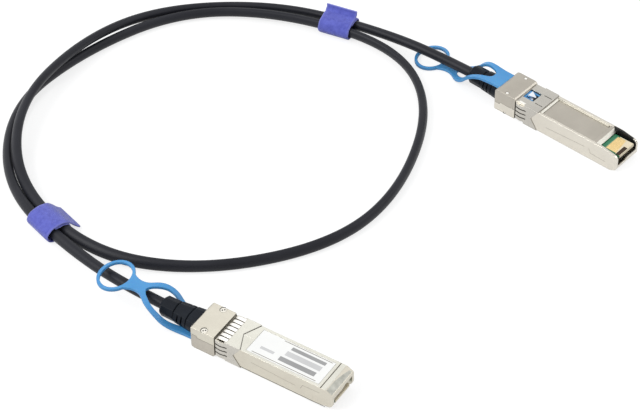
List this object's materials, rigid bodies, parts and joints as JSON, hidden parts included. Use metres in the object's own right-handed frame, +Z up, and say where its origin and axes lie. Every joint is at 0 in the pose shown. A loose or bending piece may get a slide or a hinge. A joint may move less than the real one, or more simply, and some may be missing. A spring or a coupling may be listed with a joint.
{
  "type": "direct attach copper cable",
  "caption": "Coiled twinax network cable with a metal pluggable plug and a blue pull tab at each end, held by hook-and-loop ties.",
  "frame": {"origin": "the middle, seen from above, of the box round the plugs and their pull tabs, on the surface that the part lies on", "axes": "+Z up from that surface; +X to the right as the picture sees it, along the longer side of the box round the plugs; +Y away from the viewer"},
  "size_m": [0.239, 0.2197, 0.0122],
  "materials": {
    "label_side_shell": "satin nickel plate on a die casting",
    "latch_side_shell": "satin nickel plate on a die casting",
    "spring_collar": "bright rolled sheet",
    "latch_lever": "satin",
    "lever_pin": "ground",
    "latch_spring": "rolled spring sheet",
    "pull_tab": "smooth moulded",
    "strain_relief": "matte moulded",
    "crimp_ferrule": "satin",
    "twinax_pairs": "foil-wrapped",
    "paddle_card": "solder resist",
    "contact_pads": "hard gold plate",
    "memory_chip": "moulded",
    "housing_screws": "plated",
    "label_plate": "satin film",
    "cable_jacket": "matte extruded",
    "cable_tie": "woven hook-and-loop"
  },
  "bodies": {
    "cable_and_plugs": {"label_side_shell_a": "label_side_shell", "latch_side_shell_a": "latch_side_shell", "spring_collar_a": "spring_collar", "lever_pin_a": "lever_pin", "latch_spring_a": "latch_spring", "strain_relief_a": "strain_relief", "crimp_ferrule_a": "crimp_ferrule", "twinax_pairs_a": "twinax_pairs", "paddle_card_a": "paddle_card", "contact_pads_a": "contact_pads", "memory_chip_a": "memory_chip", "housing_screws_a": "housing_screws", "label_plate_a": "label_plate", "label_side_shell_b": "label_side_shell", "latch_side_shell_b": "latch_side_shell", "spring_collar_b": "spring_collar", "lever_pin_b": "lever_pin", "latch_spring_b": "latch_spring", "strain_relief_b": "strain_relief", "crimp_ferrule_b": "crimp_ferrule", "twinax_pairs_b": "twinax_pairs", "paddle_card_b": "paddle_card", "contact_pads_b": "contact_pads", "memory_chip_b": "memory_chip", "housing_screws_b": "housing_screws", "label_plate_b": "label_plate", "cable_jacket": "cable_jacket", "cable_tie_a": "cable_tie", "cable_tie_b": "cable_tie"},
    "tab_a": {"pull_tab_a": "pull_tab"},
    "lever_a": {"latch_lever_a": "latch_lever"},
    "tab_b": {"pull_tab_b": "pull_tab"},
    "lever_b": {"latch_lever_b": "latch_lever"}
  },
  "joints": [
    {"name": "tab_a_pull", "type": "slide", "parent": "cable_and_plugs", "child": "tab_a", "axis": [-0.8434, 0.5373, 0], "range_m": [0, 0.002], "stiffness_N_per_m": 300},
    {"name": "lever_a_rock", "type": "hinge", "parent": "cable_and_plugs", "child": "lever_a", "pos_m": [-0.05732, -0.06247, 0.0026], "axis": [-0.5373, -0.8434, 0], "range_deg": [0, 5.73]},
    {"name": "tab_b_pull", "type": "slide", "parent": "cable_and_plugs", "child": "tab_b", "axis": [-0.7501, 0.6613, 0], "range_m": [0, 0.002], "stiffness_N_per_m": 300},
    {"name": "lever_b_rock", "type": "hinge", "parent": "cable_and_plugs", "child": "lever_b", "pos_m": [0.05435, 0.06236, 0.007], "axis": [0.6613, 0.7501, 0], "range_deg": [0, 5.73]}
  ],
  "couplings": [
    {"joint": "lever_a_rock", "follows": "tab_a_pull", "rad_per_m": 50},
    {"joint": "lever_b_rock", "follows": "tab_b_pull", "rad_per_m": 50}
  ]
}
